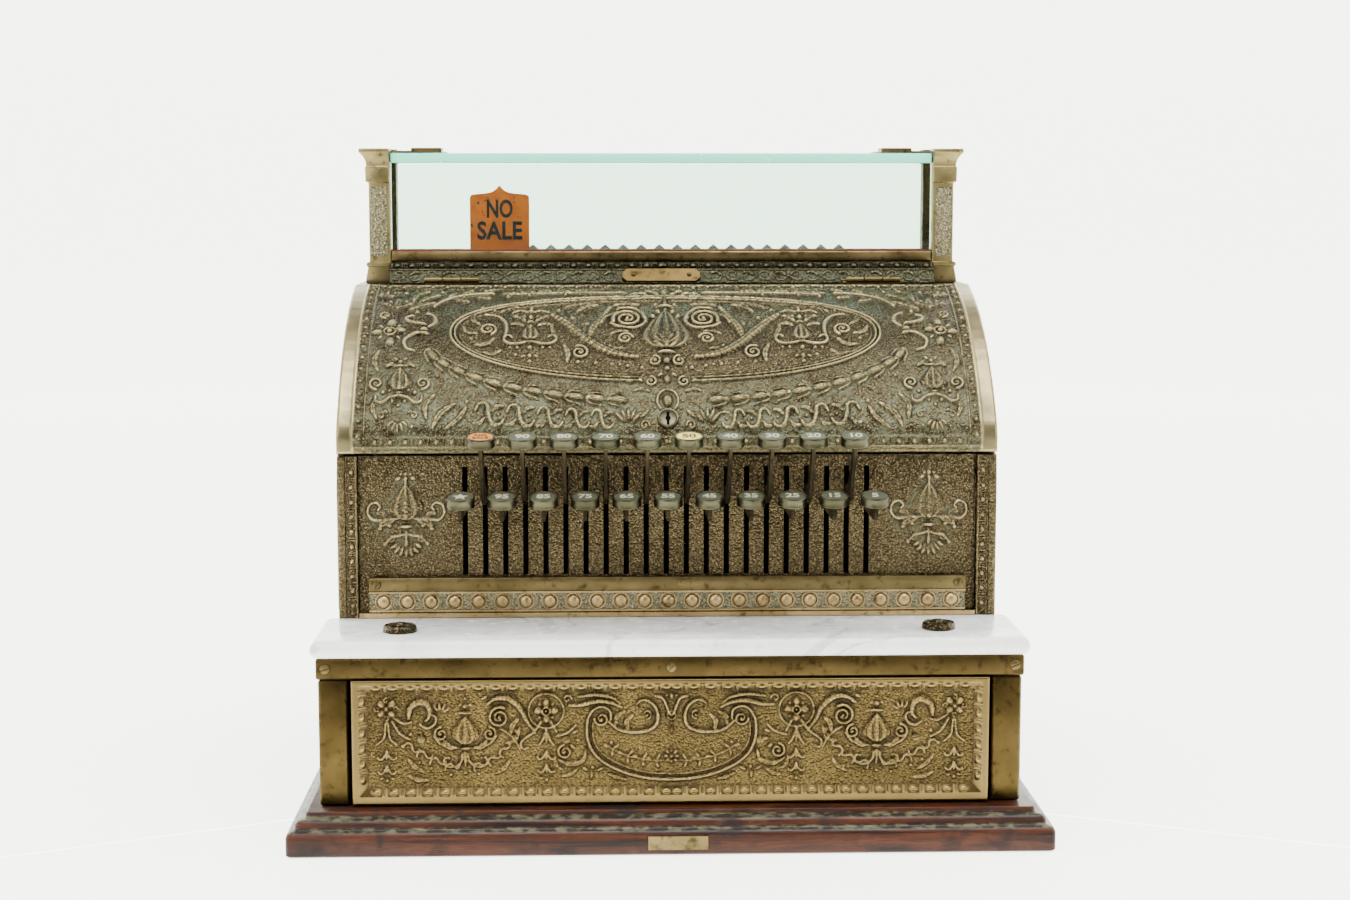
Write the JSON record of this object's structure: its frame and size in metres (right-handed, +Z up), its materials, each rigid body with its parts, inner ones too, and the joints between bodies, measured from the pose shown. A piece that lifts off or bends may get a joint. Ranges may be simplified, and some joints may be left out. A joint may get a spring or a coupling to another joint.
{
  "type": "press-key cash register",
  "caption": "Small antique brass cash register with press keys on levers, a curved ornamented lid, a marble shelf, a glazed tablet window and a cash drawer.",
  "frame": {"origin": "centre of the footprint, on the surface the register stands on", "axes": "+Z up, -Y towards the clerk who presses the keys, +X to that clerk's right"},
  "size_m": [0.464, 0.3946, 0.4252],
  "materials": {
    "aged_brass": "aged, rubbed bright on its high places",
    "dark_bronze": "dark relief casting with green in the hollows",
    "worn_nickel": "worn nickel plate",
    "blackened_iron": "blackened",
    "mahogany": "old varnish",
    "drawer_wood": "oiled",
    "marble": "honed",
    "glass": "polished",
    "orange_enamel": "satin enamel",
    "grey_enamel": "satin enamel"
  },
  "bodies": {
    "register": {"wood_base": "mahogany", "base_plate": "aged_brass", "drawer_case": "blackened_iron", "corner_post_left": "aged_brass", "corner_post_right": "aged_brass", "trim_rail": "aged_brass", "marble_shelf": "marble", "marble_button_left": "dark_bronze", "marble_button_right": "dark_bronze", "side_panel_left": "aged_brass", "side_panel_right": "aged_brass", "back_panel": "aged_brass", "key_panel": "aged_brass", "stud_rail": "aged_brass", "body_floor": "aged_brass", "key_stop_bar": "blackened_iron", "key_shaft": "blackened_iron", "bell": "aged_brass", "lid_hinge_left": "aged_brass", "lid_hinge_right": "aged_brass", "deck": "dark_bronze", "number_plate": "aged_brass", "window_rail_front": "aged_brass", "window_rail_rear": "aged_brass", "post_front_left": "aged_brass", "post_front_right": "aged_brass", "post_rear_left": "aged_brass", "post_rear_right": "aged_brass", "glass_front": "glass", "glass_rear": "glass", "glass_top": "glass", "glass_clip_left": "aged_brass", "glass_clip_right": "aged_brass", "tablet_bank": "grey_enamel"},
    "drawer": {"drawer_front": "aged_brass", "drawer_tray": "drawer_wood"},
    "lid": {"lid": "dark_bronze"},
    "lid_lock": {"lid_lock": "worn_nickel"},
    "no_sale_tablet": {"no_sale_tablet": "orange_enamel"},
    "key_01": {"key_01": "worn_nickel"},
    "key_02": {"key_02": "worn_nickel"},
    "key_03": {"key_03": "worn_nickel"},
    "key_04": {"key_04": "worn_nickel"},
    "key_05": {"key_05": "worn_nickel"},
    "key_06": {"key_06": "worn_nickel"},
    "key_07": {"key_07": "worn_nickel"},
    "key_08": {"key_08": "worn_nickel"},
    "key_09": {"key_09": "worn_nickel"},
    "key_10": {"key_10": "worn_nickel"},
    "key_11": {"key_11": "worn_nickel"},
    "key_12": {"key_12": "worn_nickel"},
    "key_13": {"key_13": "worn_nickel"},
    "key_14": {"key_14": "worn_nickel"},
    "key_15": {"key_15": "worn_nickel"},
    "key_16": {"key_16": "worn_nickel"},
    "key_17": {"key_17": "worn_nickel"},
    "key_18": {"key_18": "worn_nickel"},
    "key_19": {"key_19": "worn_nickel"},
    "key_20": {"key_20": "worn_nickel"},
    "key_21": {"key_21": "worn_nickel"}
  },
  "joints": [
    {"name": "drawer_slide", "type": "slide", "parent": "register", "child": "drawer", "axis": [0, -1, 0], "range_m": [0, 0.24]},
    {"name": "lid_hinge", "type": "hinge", "parent": "register", "child": "lid", "pos_m": [0, 0.023, 0.3358], "axis": [-1, 0, 0], "range_deg": [0, 85]},
    {"name": "lock_turn", "type": "hinge", "parent": "lid", "child": "lid_lock", "pos_m": [0, -0.09916, 0.25349], "axis": [0, -0.83, 0.5577], "range_deg": [0, 90]},
    {"name": "no_sale_slide", "type": "slide", "parent": "register", "child": "no_sale_tablet", "axis": [0, 0, 1], "range_m": [-0.043, 0]},
    {"name": "key_01_press", "type": "hinge", "parent": "register", "child": "key_01", "pos_m": [-0.1282, 0.128, 0.2], "axis": [1, 0, 0], "range_deg": [0, 6.2], "stiffness_Nm_per_rad": 2, "springref_deg": -12.61},
    {"name": "key_02_press", "type": "hinge", "parent": "register", "child": "key_02", "pos_m": [-0.1155, 0.128, 0.2], "axis": [1, 0, 0], "range_deg": [0, 6.2], "stiffness_Nm_per_rad": 2, "springref_deg": -12.61},
    {"name": "key_03_press", "type": "hinge", "parent": "register", "child": "key_03", "pos_m": [-0.1028, 0.128, 0.2], "axis": [1, 0, 0], "range_deg": [0, 6.2], "stiffness_Nm_per_rad": 2, "springref_deg": -12.61},
    {"name": "key_04_press", "type": "hinge", "parent": "register", "child": "key_04", "pos_m": [-0.0901, 0.128, 0.2], "axis": [1, 0, 0], "range_deg": [0, 6.2], "stiffness_Nm_per_rad": 2, "springref_deg": -12.61},
    {"name": "key_05_press", "type": "hinge", "parent": "register", "child": "key_05", "pos_m": [-0.0774, 0.128, 0.2], "axis": [1, 0, 0], "range_deg": [0, 6.2], "stiffness_Nm_per_rad": 2, "springref_deg": -12.61},
    {"name": "key_06_press", "type": "hinge", "parent": "register", "child": "key_06", "pos_m": [-0.0647, 0.128, 0.2], "axis": [1, 0, 0], "range_deg": [0, 6.2], "stiffness_Nm_per_rad": 2, "springref_deg": -12.61},
    {"name": "key_07_press", "type": "hinge", "parent": "register", "child": "key_07", "pos_m": [-0.052, 0.128, 0.2], "axis": [1, 0, 0], "range_deg": [0, 6.2], "stiffness_Nm_per_rad": 2, "springref_deg": -12.61},
    {"name": "key_08_press", "type": "hinge", "parent": "register", "child": "key_08", "pos_m": [-0.0393, 0.128, 0.2], "axis": [1, 0, 0], "range_deg": [0, 6.2], "stiffness_Nm_per_rad": 2, "springref_deg": -12.61},
    {"name": "key_09_press", "type": "hinge", "parent": "register", "child": "key_09", "pos_m": [-0.0266, 0.128, 0.2], "axis": [1, 0, 0], "range_deg": [0, 6.2], "stiffness_Nm_per_rad": 2, "springref_deg": -12.61},
    {"name": "key_10_press", "type": "hinge", "parent": "register", "child": "key_10", "pos_m": [-0.0139, 0.128, 0.2], "axis": [1, 0, 0], "range_deg": [0, 6.2], "stiffness_Nm_per_rad": 2, "springref_deg": -12.61},
    {"name": "key_11_press", "type": "hinge", "parent": "register", "child": "key_11", "pos_m": [-0.0012, 0.128, 0.2], "axis": [1, 0, 0], "range_deg": [0, 6.2], "stiffness_Nm_per_rad": 2, "springref_deg": -12.61},
    {"name": "key_12_press", "type": "hinge", "parent": "register", "child": "key_12", "pos_m": [0.0115, 0.128, 0.2], "axis": [1, 0, 0], "range_deg": [0, 6.2], "stiffness_Nm_per_rad": 2, "springref_deg": -12.61},
    {"name": "key_13_press", "type": "hinge", "parent": "register", "child": "key_13", "pos_m": [0.0242, 0.128, 0.2], "axis": [1, 0, 0], "range_deg": [0, 6.2], "stiffness_Nm_per_rad": 2, "springref_deg": -12.61},
    {"name": "key_14_press", "type": "hinge", "parent": "register", "child": "key_14", "pos_m": [0.0369, 0.128, 0.2], "axis": [1, 0, 0], "range_deg": [0, 6.2], "stiffness_Nm_per_rad": 2, "springref_deg": -12.61},
    {"name": "key_15_press", "type": "hinge", "parent": "register", "child": "key_15", "pos_m": [0.0496, 0.128, 0.2], "axis": [1, 0, 0], "range_deg": [0, 6.2], "stiffness_Nm_per_rad": 2, "springref_deg": -12.61},
    {"name": "key_16_press", "type": "hinge", "parent": "register", "child": "key_16", "pos_m": [0.0623, 0.128, 0.2], "axis": [1, 0, 0], "range_deg": [0, 6.2], "stiffness_Nm_per_rad": 2, "springref_deg": -12.61},
    {"name": "key_17_press", "type": "hinge", "parent": "register", "child": "key_17", "pos_m": [0.075, 0.128, 0.2], "axis": [1, 0, 0], "range_deg": [0, 6.2], "stiffness_Nm_per_rad": 2, "springref_deg": -12.61},
    {"name": "key_18_press", "type": "hinge", "parent": "register", "child": "key_18", "pos_m": [0.0877, 0.128, 0.2], "axis": [1, 0, 0], "range_deg": [0, 6.2], "stiffness_Nm_per_rad": 2, "springref_deg": -12.61},
    {"name": "key_19_press", "type": "hinge", "parent": "register", "child": "key_19", "pos_m": [0.1004, 0.128, 0.2], "axis": [1, 0, 0], "range_deg": [0, 6.2], "stiffness_Nm_per_rad": 2, "springref_deg": -12.61},
    {"name": "key_20_press", "type": "hinge", "parent": "register", "child": "key_20", "pos_m": [0.1131, 0.128, 0.2], "axis": [1, 0, 0], "range_deg": [0, 6.2], "stiffness_Nm_per_rad": 2, "springref_deg": -12.61},
    {"name": "key_21_press", "type": "hinge", "parent": "register", "child": "key_21", "pos_m": [0.1258, 0.128, 0.2], "axis": [1, 0, 0], "range_deg": [0, 6.2], "stiffness_Nm_per_rad": 2, "springref_deg": -12.61}
  ]
}
